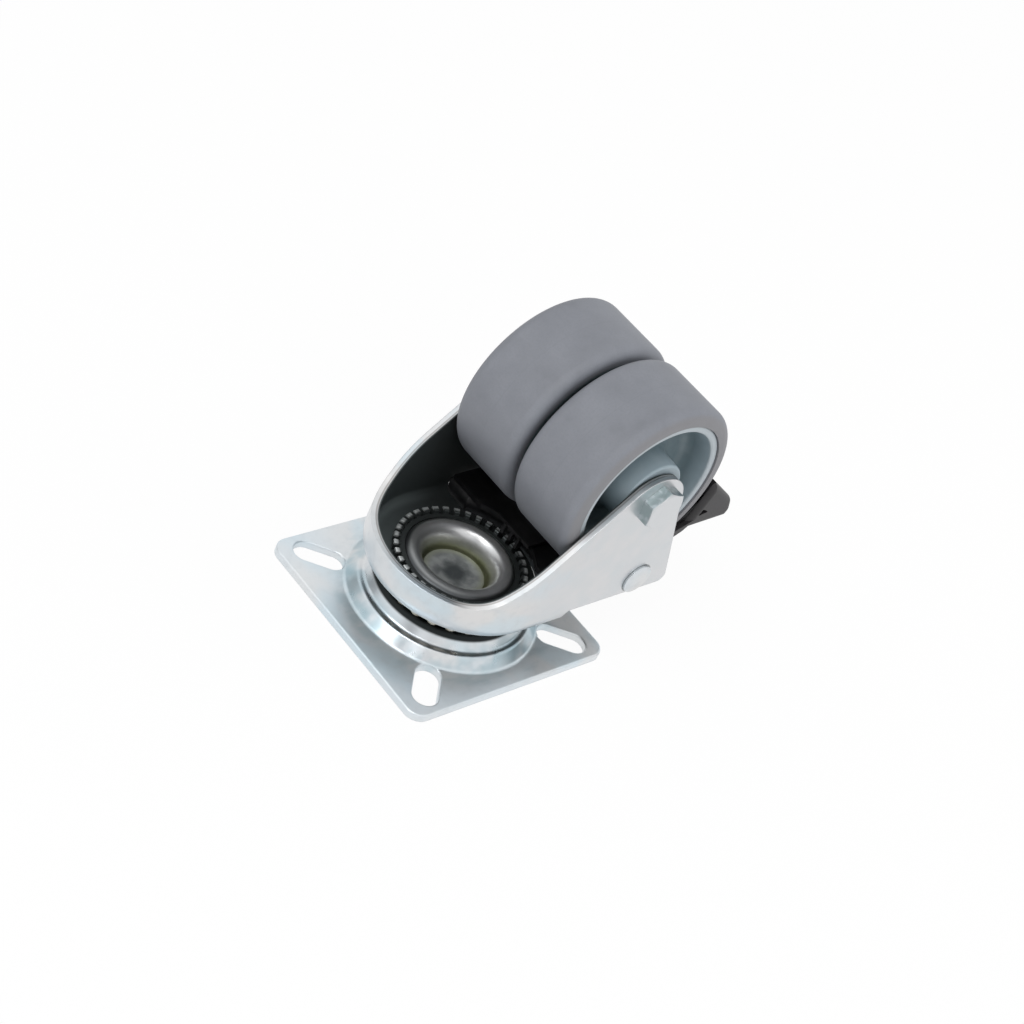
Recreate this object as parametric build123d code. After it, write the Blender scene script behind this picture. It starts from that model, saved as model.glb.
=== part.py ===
from build123d import *
import os
from math import cos, hypot, radians, sin, tan

# A twin-wheel swivel castor with a plate fixing and a brake that locks wheels and swivel together.
# The frame is the plate's: the origin is where the swivel axis meets the mounting face, +Z runs from
# the plate to the wheels, and +X runs from the swivel axis to the axle. All sizes are in millimetres.

# Wheels
wheel_radius = 25.0
tyre_width = 21.1
tyre_shoulder_radius = 2.8
tyre_thickness = 4.1
tyre_gap = 1.8
axle_trail = 26.7
tread_height = 24.4

# Hubs
hub_rim_setback = 0.4
hub_rib_height = 1.0
hub_rib_width = 8.0
hub_rim = 2.0
hub_recess_depth = 8.0
hub_recess_draft = 0.9
hub_web = 3.0
hub_boss_radius = 9.2
hub_boss_draft = 0.5
hub_edge_radius = 0.6
hub_to_leg = 0.4
bore_clearance = 0.08

# Axle
sleeve_radius = 4.5
axle_radius = 3.0
axle_hole_clearance = 0.1
hex_across_flats = 10.0
bolt_head_height = 3.3
bolt_head_turn = 38.0
nut_height = 5.0
bolt_end = 1.6
hex_chamfer = 0.9
washer_thickness = 1.0
washer_radius = 8.5
washer_clearance = 0.3

# Mounting plate
plate_length = 63.0
plate_width = 60.0
plate_sheet = 2.0
plate_corner_radius = 4.0
plate_edge_radius = 0.5
slot_width = 6.4
slot_length = 13.0
slot_from_end = 9.4
slot_from_side = 7.9
dome_lower_run = 2.6
dome_shelf_width = 1.5
dome_upper_run = 2.3
dome_race_margin = 1.2
dome_shelf_height = 4.7
dome_shelf_rise = 0.3
dome_top_height = 8.3
dome_bend = 1.2
cup_seat_radius = 10.6
cup_seat_depth = 0.4

# Ball rows and their races
outer_ball_radius = 2.0
outer_ball_circle = 17.2
outer_ball_count = 25
inner_ball_radius = 1.5
inner_ball_circle = 12.2
inner_ball_count = 24
ball_seat_depth = 0.2
race_clearance = 0.1

# Fork
fork_sheet = 2.0
fork_inside_width = 45.2
fork_wall_bend = 4.8
fork_rim_height = 21.8
fork_rim_bend = 13.0
crown_hole_radius = 10.5
crown_step_height = 1.9
crown_step_radius = 14.8
crown_step_run = 0.8
crown_bend = 0.6
leg_end_radius = 10.4
leg_end_back = 1.0
leg_end_drop = 3.0
leg_front_angle = 46.0
leg_rear_angle = 21.5
leg_lower_edge = 16.9
leg_lower_start = 13.8
leg_corner_radius = 2.0
leg_notch_radius = 1.5

# Swivel cup, king rivet and lock ring
cup_sheet = 1.5
cup_throat_radius = 9.3
cup_lip_radius = 14.0
cup_throat_bend = 3.0
cup_floor_bend = 0.6
cup_lip_edge = 1.2
king_radius = 4.0
king_head_radius = 7.9
king_head_thickness = 1.5
king_dimple_radius = 5.2
king_dimple_run = 2.2
king_dimple_depth = 0.15
king_tail_radius = 6.5
king_tail_thickness = 1.8
ring_outer_radius = 17.1
ring_tooth_root = 15.2
ring_web_radius = 15.4
ring_web_thickness = 1.0
ring_height = 1.9
ring_lift = 0.6
ring_tooth_count = 36
ring_slot_width = 1.5

# Brake
pivot_to_tread = 4.41
pivot_angle = -72.2
pivot_radius = 2.0
pivot_hole_clearance = 0.05
pivot_head_radius = 4.2
pivot_head_thickness = 0.7
brake_travel = 7.5
brake_tyre_clearance = 0.5
pedal_half_width = 21.2
pedal_wall = 2.0
pedal_tip_radius = 2.6
pedal_edge_radius = 2.0
pedal_rib_count = 4
pedal_rib_thickness = 1.4
pedal_window_depth = 1.0
lever_sheet = 1.5
lever_half_width = 19.9
lever_eye_radius = 3.8
lever_web_front = 14.4
lever_web_half_width = 22.2
lever_web_back = 31.0
lever_foot = 24.0
lever_foot_back = 33.0
lever_ring_gap = 1.1
shoe_clearance = 0.6
shoe_start = -42.5
shoe_angle = 20.0
ear_tyre_gap = 1.4
lock_sheet = 0.9
lock_width = 12.0
lock_front = 15.2
lock_rise = 0.6
lock_tooth_width = 0.9
lock_tooth_side_gap = 0.4
lock_tooth_length = 1.6
lock_tooth_count = 3
detent_sheet = 0.6
detent_width = 11.0
detent_drop = 1.4
rivet_radius = 1.2
rivet_head_radius = 2.2
rivet_head_thickness = 0.7
rivet_spacing = 7.0
rivet_setback = 5.0

# Places that follow from the sizes above
axle_x = axle_trail
axle_z = tread_height + wheel_radius
tyre_inner_radius = wheel_radius - tyre_thickness
hub_recess_radius = tyre_inner_radius - hub_rim
pivot_x = axle_x + (wheel_radius + pivot_to_tread) * cos(radians(pivot_angle))
pivot_z = axle_z + (wheel_radius + pivot_to_tread) * sin(radians(pivot_angle))
dome_top_radius = outer_ball_circle + dome_race_margin
dome_shelf_radius = dome_top_radius + dome_upper_run + dome_shelf_width
dome_base_radius = dome_shelf_radius + dome_lower_run
slot_x = plate_length / 2 - slot_from_end
slot_y = plate_width / 2 - slot_from_side
fork_radius = fork_inside_width / 2 + fork_sheet
leg_inside = fork_inside_width / 2
crown_under = dome_top_height + 2 * (outer_ball_radius - ball_seat_depth)
crown_top = crown_under + fork_sheet
crown_inner_under = crown_under - crown_step_height
crown_inner_top = crown_inner_under + fork_sheet
outer_ball_height = dome_top_height + outer_ball_radius - ball_seat_depth
inner_ball_height = crown_inner_top + inner_ball_radius - ball_seat_depth
lip_under = crown_inner_top + 2 * (inner_ball_radius - ball_seat_depth)
lip_top = lip_under + cup_sheet
cup_floor_under = dome_top_height - cup_seat_depth
cup_floor_top = cup_floor_under + cup_sheet
cup_floor_radius = king_head_radius + cup_floor_bend
ring_low = crown_top + ring_lift
wheel_centre = (tyre_gap + tyre_width) / 2
web_low = pivot_z - lever_eye_radius
web_top = web_low + lever_sheet
spring_end = lever_foot_back - 0.5
overall_height = axle_z + wheel_radius


def closed_face(points, radii):
    """A face bounded by straight runs, each corner rounded by its own radius (0 leaves it sharp)."""
    return make_face(FilletPolyline(*points, radius=radii, close=True))


def shifted_run(start, end, distance):
    """The straight run from start to end, moved sideways to its left."""
    run_x = end[0] - start[0]
    run_y = end[1] - start[1]
    length = hypot(run_x, run_y)
    side_x = -run_y / length * distance
    side_y = run_x / length * distance
    return (start[0] + side_x, start[1] + side_y), (end[0] + side_x, end[1] + side_y)


def meeting_point(first, second):
    """The point where two straight runs, or their extensions, cross."""
    (ax, ay), (bx, by) = first
    (cx, cy), (dx, dy) = second
    first_x, first_y = bx - ax, by - ay
    second_x, second_y = dx - cx, dy - cy
    turn = first_x * second_y - first_y * second_x
    share = ((cx - ax) * second_y - (cy - ay) * second_x) / turn
    return ax + share * first_x, ay + share * first_y


def sheet_section(points, bends, sheet):
    """Section of a pressed sheet: the points run along one side and the metal lies on their left."""
    runs = [shifted_run(start, end, sheet) for start, end in zip(points, points[1:])]
    other_side = [runs[0][0]]
    other_bends = []
    for corner, (before, after, bend) in enumerate(zip(runs, runs[1:], bends), start=1):
        other_side.append(meeting_point(before, after))
        in_x = points[corner][0] - points[corner - 1][0]
        in_y = points[corner][1] - points[corner - 1][1]
        out_x = points[corner + 1][0] - points[corner][0]
        out_y = points[corner + 1][1] - points[corner][1]
        turns_left = in_x * out_y - in_y * out_x > 0
        other_bends.append(max(bend - sheet, 0) if turns_left else bend + sheet)
    other_side.append(runs[-1][1])
    near_line = FilletPolyline(*points, radius=bends)
    far_line = FilletPolyline(*other_side, radius=other_bends)
    start_line = Line(points[0], other_side[0])
    end_line = Line(points[-1], other_side[-1])
    return make_face(near_line.edges() + far_line.edges() + start_line.edges() + end_line.edges())


def turned_on_swivel(face):
    """A solid of revolution about the swivel axis, from a face drawn as (radius, height)."""
    return revolve(Plane.XZ * face, axis=Axis.Z)


def turned_on_axle(face):
    """A solid of revolution about the axle, from a face drawn as (place across, radius)."""
    axle_plane = Plane(origin=(axle_x, 0, axle_z), x_dir=(0, 1, 0), z_dir=(1, 0, 0))
    return revolve(axle_plane * face, axis=Axis((axle_x, 0, axle_z), (0, 1, 0)))


def side_prism(face, low, high):
    """A face drawn as (x, z), carried across from y = low to y = high."""
    plane = Plane(origin=(0, high, 0), x_dir=(1, 0, 0), z_dir=(0, -1, 0))
    return extrude(plane * face, amount=high - low)


def cross_cylinder(x, z, radius, low, high):
    """A cylinder along Y through (x, z), from y = low to y = high."""
    return side_prism(Pos(x, z) * Circle(radius), low, high)


def race_ring(circle, height, ball_radius):
    """The ring-shaped space that a row of balls runs in, a clearance larger than the balls."""
    section = Pos(circle, height) * Circle(ball_radius + race_clearance)
    return turned_on_swivel(section)


def ball_row(circle, height, ball_radius, count):
    """A full row of loose balls round the swivel axis."""
    balls = []
    for place in range(count):
        angle = radians(360 / count * place)
        ball = Pos(circle * cos(angle), circle * sin(angle), height) * Sphere(ball_radius)
        balls.append(ball.solid())
    return Compound(balls)


def hexagon_body(height):
    """A hexagon head or nut along local +Z, its outer corners turned off by a chamfer."""
    corner_radius = hex_across_flats / 2 / cos(radians(30))
    prism = extrude(RegularPolygon(hex_across_flats / 2, 6, major_radius=False), amount=height)
    turned = Pos(0, 0, height / 2) * Cylinder(corner_radius, height)
    turned = chamfer(turned.edges().sort_by(Axis.Z)[-1], length=hex_chamfer / 2, length2=hex_chamfer)
    return prism & turned


def mounting_plate():
    """Pressed plate: flat with four diagonal slots, and a two-step dome that carries the lower race."""
    blank = extrude(RectangleRounded(plate_length, plate_width, plate_corner_radius), amount=plate_sheet)
    slots = []
    for side_x in (-1, 1):
        for side_y in (-1, 1):
            slot = SlotOverall(slot_length, slot_width, rotation=45 * side_x * side_y)
            slots.append(extrude(Pos(side_x * slot_x, side_y * slot_y) * slot, amount=2 * plate_sheet))
    flat = blank - slots
    flat = fillet(flat.edges().group_by(Axis.Z)[-1], plate_edge_radius)
    rounded_off = blank - flat
    join_radius = dome_base_radius + plate_sheet
    flat -= Cylinder(join_radius, 4 * plate_sheet)
    top_side = [
        (join_radius, plate_sheet),
        (dome_base_radius, plate_sheet),
        (dome_shelf_radius, dome_shelf_height),
        (dome_shelf_radius - dome_shelf_width, dome_shelf_height + dome_shelf_rise),
        (dome_top_radius, dome_top_height),
        (king_radius, dome_top_height),
    ]
    dome = turned_on_swivel(sheet_section(top_side, [dome_bend] * 4, plate_sheet))
    seat = Pos(0, 0, cup_floor_under) * Cylinder(
        cup_seat_radius, plate_sheet, align=(Align.CENTER, Align.CENTER, Align.MIN)
    )
    dome -= seat
    dome -= race_ring(outer_ball_circle, outer_ball_height, outer_ball_radius)
    dome = dome - slots - rounded_off
    return flat + dome


def leg_outline():
    """Side outline of the fork as (x, z): low rim, straight rise, round end, slanted rear, lower edge."""
    centre_x = axle_x - leg_end_back
    centre_z = axle_z - leg_end_drop
    front = radians(90 + leg_front_angle)
    rear = radians(leg_rear_angle)
    middle = (front + rear) / 2

    def on_end(angle):
        return centre_x + leg_end_radius * cos(angle), centre_z + leg_end_radius * sin(angle)

    rise_end = on_end(front)
    rear_start = on_end(rear)
    rim_turn_x = rise_end[0] - (rise_end[1] - fork_rim_height) / tan(radians(leg_front_angle))
    rear_foot_x = rear_start[0] + (rear_start[1] - leg_lower_edge) * tan(rear)
    front_x = -fork_radius - fork_sheet
    rim = FilletPolyline(
        (front_x, fork_rim_height), (rim_turn_x, fork_rim_height), rise_end, radius=[fork_rim_bend]
    )
    end = ThreePointArc(rise_end, on_end(middle), rear_start)
    foot = FilletPolyline(
        rear_start,
        (rear_foot_x, leg_lower_edge),
        (leg_lower_start, leg_lower_edge),
        (leg_lower_start, 0),
        radius=[leg_corner_radius, leg_notch_radius],
    )
    base = Polyline((leg_lower_start, 0), (front_x, 0), (front_x, fork_rim_height))
    return make_face(rim.edges() + end.edges() + foot.edges() + base.edges())


def fork():
    """Pressed fork: a stepped crown with both upper races, a low round front wall and two legs."""
    floor_edge = fork_radius - fork_wall_bend
    crown_side = [
        (crown_hole_radius, crown_inner_under),
        (crown_step_radius, crown_inner_under),
        (crown_step_radius + crown_step_run, crown_under),
        (floor_edge, crown_under),
    ]
    crown = turned_on_swivel(sheet_section(crown_side, [crown_bend, crown_bend], fork_sheet))
    wall_side = [(floor_edge, crown_under), (fork_radius, crown_under), (fork_radius, overall_height)]
    wall = sheet_section(wall_side, [fork_wall_bend], fork_sheet)
    front = revolve(Plane.YZ * wall, axis=Axis.Z, revolution_arc=180)
    right_leg = extrude(Plane.YZ * wall, amount=2 * fork_radius + fork_sheet)
    left_leg = mirror(right_leg, about=Plane.XZ)
    floor = Pos(0, 0, crown_under) * Box(
        leg_lower_start, 2 * floor_edge, fork_sheet, align=(Align.MIN, Align.CENTER, Align.MIN)
    )
    floor -= Cylinder(crown_step_radius + 2 * crown_step_run, overall_height)
    walls = front + right_leg + left_leg + floor
    walls &= side_prism(leg_outline(), -2 * fork_radius, 2 * fork_radius)
    body = walls + crown
    body -= race_ring(outer_ball_circle, outer_ball_height, outer_ball_radius)
    body -= race_ring(inner_ball_circle, inner_ball_height, inner_ball_radius)
    body -= cross_cylinder(axle_x, axle_z, axle_radius + axle_hole_clearance, -fork_radius, fork_radius)
    body -= cross_cylinder(pivot_x, pivot_z, pivot_radius + pivot_hole_clearance, -fork_radius, fork_radius)
    return body


def swivel_cup():
    """Dished cup whose rolled lip holds the inner row of balls down on the crown."""
    wall_top = (cup_throat_radius, lip_top)
    wall_foot = (cup_floor_radius, cup_floor_top)
    outside_wall = shifted_run(wall_top, wall_foot, cup_sheet)
    lip_corner = meeting_point(outside_wall, ((0, lip_under), (1, lip_under)))
    floor_corner = meeting_point(outside_wall, ((0, cup_floor_under), (1, cup_floor_under)))
    outline = [
        (cup_lip_radius, lip_top),
        wall_top,
        wall_foot,
        (king_radius, cup_floor_top),
        (king_radius, cup_floor_under),
        floor_corner,
        lip_corner,
        (cup_lip_radius, lip_under),
    ]
    outside_floor_bend = cup_floor_bend + cup_sheet
    outside_throat_bend = cup_throat_bend - cup_sheet
    radii = [cup_lip_edge, cup_throat_bend, cup_floor_bend, 0, 0, outside_floor_bend, outside_throat_bend, 0]
    cup = turned_on_swivel(closed_face(outline, radii))
    return cup - race_ring(inner_ball_circle, inner_ball_height, inner_ball_radius)


def king_rivet():
    """Rivet that clamps the cup to the plate, with a flat dished head and a hidden spread tail."""
    head_low = cup_floor_top
    head_top = head_low + king_head_thickness
    tail_top = dome_top_height - plate_sheet
    outline = [
        (0, tail_top - king_tail_thickness),
        (king_tail_radius - king_tail_thickness / 2, tail_top - king_tail_thickness),
        (king_tail_radius, tail_top),
        (king_radius, tail_top),
        (king_radius, head_low),
        (king_head_radius, head_low),
        (king_head_radius, head_top),
        (king_dimple_radius, head_top),
        (king_dimple_radius - king_dimple_run, head_top - king_dimple_depth),
        (0, head_top - king_dimple_depth),
    ]
    edge = king_head_thickness / 4
    soft = king_dimple_radius
    return turned_on_swivel(closed_face(outline, [0, edge, 0, 0, 0, 0, edge, soft, soft, 0]))


def lock_ring():
    """Ring pressed round the cup's lip, with a raised crown of teeth for the brake to lock into."""
    low = ring_low
    outline = [
        (cup_lip_radius, low),
        (ring_outer_radius, low),
        (ring_outer_radius, low + ring_height),
        (ring_web_radius, low + ring_height),
        (ring_web_radius, low + ring_web_thickness),
        (cup_lip_radius, low + ring_web_thickness),
    ]
    ring = turned_on_swivel(closed_face(outline, [0, 0, 0.4, 0.4, 0, 0]))
    slot_length_out = ring_outer_radius - ring_tooth_root + ring_slot_width
    slot = Pos(ring_tooth_root, 0, low + ring_height / 2) * Box(
        slot_length_out, ring_slot_width, 2 * ring_height, align=(Align.MIN, Align.CENTER, Align.CENTER)
    )
    slots = [Rot(0, 0, 360 / ring_tooth_count * place) * slot for place in range(ring_tooth_count)]
    return ring - slots


def tyre(side):
    """Tyre with rounded shoulders, moulded round the rib of its hub."""
    low = tyre_gap / 2
    high = low + tyre_width
    rib_low = wheel_centre - hub_rib_width / 2
    rib_high = wheel_centre + hub_rib_width / 2
    rib_radius = tyre_inner_radius + hub_rib_height
    outline = [
        (low, tyre_inner_radius),
        (rib_low, tyre_inner_radius),
        (rib_low, rib_radius),
        (rib_high, rib_radius),
        (rib_high, tyre_inner_radius),
        (high, tyre_inner_radius),
        (high, wheel_radius),
        (low, wheel_radius),
    ]
    radii = [0, 0, 0, 0, 0, 0, tyre_shoulder_radius, tyre_shoulder_radius]
    body = turned_on_axle(closed_face(outline, radii))
    return body if side > 0 else mirror(body, about=Plane.XZ)


def hub(side):
    """Moulded hub: rim, dished web and a long boss that turns on the axle sleeve."""
    rim_low = tyre_gap / 2 + hub_rim_setback
    rim_high = tyre_gap / 2 + tyre_width - hub_rim_setback
    web_high = rim_high - hub_recess_depth
    web_low = web_high - hub_web
    boss_low = washer_thickness / 2 + washer_clearance
    boss_high = leg_inside - hub_to_leg
    bore = sleeve_radius + bore_clearance
    rib_low = wheel_centre - hub_rib_width / 2
    rib_high = wheel_centre + hub_rib_width / 2
    rib_radius = tyre_inner_radius + hub_rib_height
    wall_foot = hub_recess_radius - hub_recess_draft
    boss_foot = hub_boss_radius + hub_boss_draft
    outline = [
        (boss_low, bore),
        (boss_high, bore),
        (boss_high, hub_boss_radius),
        (web_high, boss_foot),
        (web_high, wall_foot),
        (rim_high, hub_recess_radius),
        (rim_high, tyre_inner_radius),
        (rib_high, tyre_inner_radius),
        (rib_high, rib_radius),
        (rib_low, rib_radius),
        (rib_low, tyre_inner_radius),
        (rim_low, tyre_inner_radius),
        (rim_low, hub_recess_radius),
        (web_low, wall_foot),
        (web_low, boss_foot),
        (boss_low, hub_boss_radius),
    ]
    inner = hub_web
    edge = hub_edge_radius
    radii = [0, 0, edge, inner, inner, edge, edge, 0, 0, 0, 0, edge, edge, inner, inner, edge]
    body = turned_on_axle(closed_face(outline, radii))
    return body if side > 0 else mirror(body, about=Plane.XZ)


def axle_bolt():
    """Hexagon bolt with its head outside the near leg and its end through the nut."""
    head_plane = Plane(origin=(axle_x, -fork_radius, axle_z), x_dir=(1, 0, 0), z_dir=(0, -1, 0))
    head = head_plane * (Rot(0, 0, bolt_head_turn) * hexagon_body(bolt_head_height))
    far_end = fork_radius + nut_height + bolt_end
    shank = cross_cylinder(axle_x, axle_z, axle_radius, -fork_radius, far_end)
    shank = chamfer(shank.edges().sort_by(Axis.Y)[-1], length=hex_chamfer / 2)
    return head + shank


def axle_nut():
    """Nut that clamps both legs on the sleeve from the far side."""
    nut_plane = Plane(origin=(axle_x, fork_radius, axle_z), x_dir=(1, 0, 0), z_dir=(0, 1, 0))
    body = nut_plane * hexagon_body(nut_height)
    return body - cross_cylinder(axle_x, axle_z, axle_radius, fork_radius, fork_radius + nut_height)


def axle_sleeve():
    """Tube between the legs, which the bolt clamps and both wheels turn on."""
    sleeve = cross_cylinder(axle_x, axle_z, sleeve_radius, -leg_inside, leg_inside)
    return sleeve - cross_cylinder(
        axle_x, axle_z, axle_radius + axle_hole_clearance, -leg_inside, leg_inside
    )


def centre_washer():
    """Washer on the sleeve that keeps the two hubs apart."""
    half = washer_thickness / 2
    return cross_cylinder(axle_x, axle_z, washer_radius, -half, half) - cross_cylinder(
        axle_x, axle_z, sleeve_radius, -half, half
    )


def pivot_rivet():
    """Long rivet across both legs that the pedal turns on, with a flat head on each side."""
    outside = fork_radius + pivot_head_thickness
    rivet = cross_cylinder(pivot_x, pivot_z, pivot_radius, -outside, outside)
    for low, high in ((-outside, -fork_radius), (fork_radius, outside)):
        head = cross_cylinder(pivot_x, pivot_z, pivot_head_radius, low, high)
        face_edge = head.edges().sort_by(Axis.Y)[0 if low < 0 else -1]
        rivet += fillet(face_edge, pivot_head_thickness / 4)
    return rivet


def turned_back(shape):
    """A shape drawn where it is when the brake is on, turned back about the pivot to the brake's rest."""
    return shape.rotate(Axis((pivot_x, 0, pivot_z), (0, 1, 0)), brake_travel)


def without_tyre_room(body, clearance):
    """Cut away what would touch a tyre, with the brake off or on."""
    room = cross_cylinder(axle_x, axle_z, wheel_radius + clearance, -pedal_half_width, pedal_half_width)
    return body - room - turned_back(room)


def beside_tyre(gap, angle):
    """The point (x, z) a gap outside the tread, at an angle in degrees round the axle, with the brake off."""
    reach = wheel_radius + gap
    return axle_x + reach * cos(radians(angle)), axle_z + reach * sin(radians(angle))


def eye_face():
    """The round eye about the pivot, as (x, z)."""
    return Pos(pivot_x, pivot_z) * Circle(lever_eye_radius)


def pin_hole():
    """The hole through pedal and lever that the pivot rivet runs in."""
    radius = pivot_radius + pivot_hole_clearance
    return cross_cylinder(pivot_x, pivot_z, radius, -pedal_half_width, pedal_half_width)


def ear_face():
    """Outline of the lever's ear: an eye, an arm up to the shoe and a foot forward to the web."""
    arm = closed_face(
        [
            (lever_foot, web_low),
            (pivot_x + lever_eye_radius / 2, web_low),
            beside_tyre(5.8, -46.7),
            beside_tyre(4.5, -38.1),
            beside_tyre(-3.0, -37.8),
            beside_tyre(-1.4, -74.6),
            (lever_foot, web_top),
        ],
        [0.5, 3.0, 1.0, 0.4, 0, 0, 0.5],
    )
    return arm + eye_face()


def web_strip(front, back):
    """Section of the lever's flat web from front to back, as (x, z)."""
    return Pos(front, web_low) * Rectangle(back - front, lever_sheet, align=(Align.MIN, Align.MIN))


def brake_lever():
    """Pressed steel lever: a curved shoe facing both tyres, an ear at each end and a web in front."""
    inside = lever_half_width - lever_sheet
    shoe_radius = wheel_radius + shoe_clearance
    inner_arc = CenterArc((axle_x, axle_z), shoe_radius, shoe_start, shoe_angle)
    outer_arc = CenterArc((axle_x, axle_z), shoe_radius + lever_sheet, shoe_start, shoe_angle)
    first_end = Line(inner_arc @ 0, outer_arc @ 0)
    last_end = Line(inner_arc @ 1, outer_arc @ 1)
    band = make_face(inner_arc.edges() + outer_arc.edges() + first_end.edges() + last_end.edges())
    shoe = turned_back(side_prism(band, -lever_half_width, lever_half_width))
    ear = without_tyre_room(side_prism(ear_face(), inside, lever_half_width), ear_tyre_gap)
    web = side_prism(web_strip(lever_web_front, lever_web_back), -lever_web_half_width, lever_web_half_width)
    web += side_prism(web_strip(lever_foot, lever_foot_back), -lever_half_width, lever_half_width)
    web -= Cylinder(ring_outer_radius + lever_ring_gap, 2 * overall_height)
    return shoe + ear + mirror(ear, about=Plane.XZ) + web - pin_hole() - rivet_shanks()


def pedal_side():
    """Side outline of the pedal's wedge as (x, z), and the size of each of its corners."""
    corners = [
        beside_tyre(3.95, -10.1),
        beside_tyre(16.85, -18.8),
        beside_tyre(19.2, -22.3),
        beside_tyre(19.4, -25.9),
        beside_tyre(6.0, -39.6),
    ]
    return corners, [0.8, pedal_tip_radius, pedal_tip_radius, 0.8, 0.8]


def brake_pedal():
    """Moulded pedal: a hollow ribbed wedge behind the wheels, with a thin arm to the pivot on each side."""
    corners, radii = pedal_side()
    wedge = side_prism(closed_face(corners, radii), -pedal_half_width, pedal_half_width)
    tip_height = (corners[1][1] + corners[2][1]) / 2
    tip_edges = wedge.edges().filter_by(Plane.XZ).filter_by_position(Axis.Z, tip_height - 1, tip_height + 1)
    outer_edges = tip_edges.filter_by_position(Axis.X, corners[1][0] - 1, corners[3][0] + pedal_wall)
    wedge = fillet(outer_edges, pedal_edge_radius)

    inset = offset(closed_face(corners, radii), amount=-pedal_wall)
    half_hollow = pedal_half_width - pedal_wall
    hollow = side_prism(inset, -half_hollow, half_hollow)
    hollow += Pos(-2 * pedal_wall, 0, 0) * hollow
    pitch = 2 * half_hollow / (pedal_rib_count + 1)
    for rib in range(pedal_rib_count):
        place = -half_hollow + pitch * (rib + 1)
        hollow -= Pos(corners[0][0], place, corners[0][1]) * Box(
            2 * pedal_half_width, pedal_rib_thickness, 2 * pedal_half_width
        )
    wedge -= hollow

    arm = closed_face(
        [
            (pivot_x + 0.63 * lever_eye_radius, pivot_z - 0.73 * lever_eye_radius),
            beside_tyre(5.1, -44.2),
            corners[4],
            beside_tyre(6.9, -30.9),
            beside_tyre(3.9, -39.5),
            (pivot_x - 0.3 * lever_eye_radius, pivot_z + 0.92 * lever_eye_radius),
        ],
        [0, 2.0, 0, 0, 2.0, 0],
    )
    arms = side_prism(arm + eye_face(), lever_half_width, pedal_half_width)
    arms += mirror(arms, about=Plane.XZ)
    window = closed_face(
        [
            beside_tyre(6.3, -25.6),
            beside_tyre(9.4, -25.7),
            beside_tyre(6.5, -29.7),
        ],
        [0.3, 0.3, 0.3],
    )
    window_cut = side_prism(window, pedal_half_width - pedal_window_depth, pedal_half_width)
    window_cut += mirror(window_cut, about=Plane.XZ)
    shoe_back = turned_back(
        cross_cylinder(
            axle_x,
            axle_z,
            wheel_radius + shoe_clearance + lever_sheet,
            -lever_half_width,
            lever_half_width,
        )
    )
    ear_room = side_prism(ear_face(), -lever_half_width, lever_half_width)
    body = without_tyre_room(wedge - shoe_back - ear_room + arms, brake_tyre_clearance)
    return body - window_cut - pin_hole()


def lock_spring():
    """Spring strip riveted on the web, whose three teeth drop into the lock ring with the brake on."""
    low_side = [
        (lock_front, web_top + lock_rise),
        (lock_front + 6.0, web_top + lock_rise),
        (lock_front + 8.0, web_top),
        (spring_end, web_top),
    ]
    strip = side_prism(sheet_section(low_side, [1.5, 1.5], lock_sheet), -lock_width / 2, lock_width / 2)
    tooth_low = ring_low + 0.1
    tooth = Pos(ring_tooth_root + lock_tooth_side_gap, 0, tooth_low) * Box(
        lock_tooth_length,
        lock_tooth_width,
        ring_height + lock_sheet,
        align=(Align.MIN, Align.CENTER, Align.MIN),
    )
    pitch = 360 / ring_tooth_count
    first = -pitch * (lock_tooth_count - 1) / 2
    for place in range(lock_tooth_count):
        strip += turned_back(Rot(0, 0, first + pitch * place) * tooth)
    return strip - rivet_shanks()


def detent_spring():
    """Spring strip under the web, with a turned-down nose that snaps past the crown's rear edge."""
    seat = web_low - detent_sheet
    low_side = [
        (lever_foot - 4.0, seat - detent_drop + 1.0),
        (lever_foot - 3.0, seat - detent_drop),
        (lever_foot - 0.6, seat),
        (spring_end, seat),
    ]
    section = sheet_section(low_side, [0.5, 1.5], detent_sheet)
    return side_prism(section, -detent_width / 2, detent_width / 2) - rivet_shanks()


def rivet_places():
    """Where the two rivets stand on the web, as (x, y)."""
    rivet_x = lever_foot + rivet_setback
    return [(rivet_x, -rivet_spacing / 2), (rivet_x, rivet_spacing / 2)]


def rivet_shanks():
    """The rivets' shanks, through the detent spring, the web and the lock spring."""
    low = web_low - detent_sheet
    length = detent_sheet + lever_sheet + lock_sheet
    shank = Cylinder(rivet_radius, length, align=(Align.CENTER, Align.CENTER, Align.MIN))
    return [Pos(x, y, low) * shank for x, y in rivet_places()]


def lever_rivets():
    """Two rivets with low round heads that hold both springs to the lever's web."""
    rivets = []
    for (x, y), shank in zip(rivet_places(), rivet_shanks()):
        rivet = shank
        for height, direction in ((web_low - detent_sheet, -1), (web_top + lock_sheet, 1)):
            head = Pos(x, y, height + direction * rivet_head_thickness / 2) * Cylinder(
                rivet_head_radius, rivet_head_thickness
            )
            rim = head.edges().filter_by(GeomType.CIRCLE).sort_by(Axis.Z)[-1 if direction > 0 else 0]
            rivet += fillet(rim, rivet_head_thickness * 0.7)
        rivets.append(rivet.solid())
    return Compound(rivets)


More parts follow.
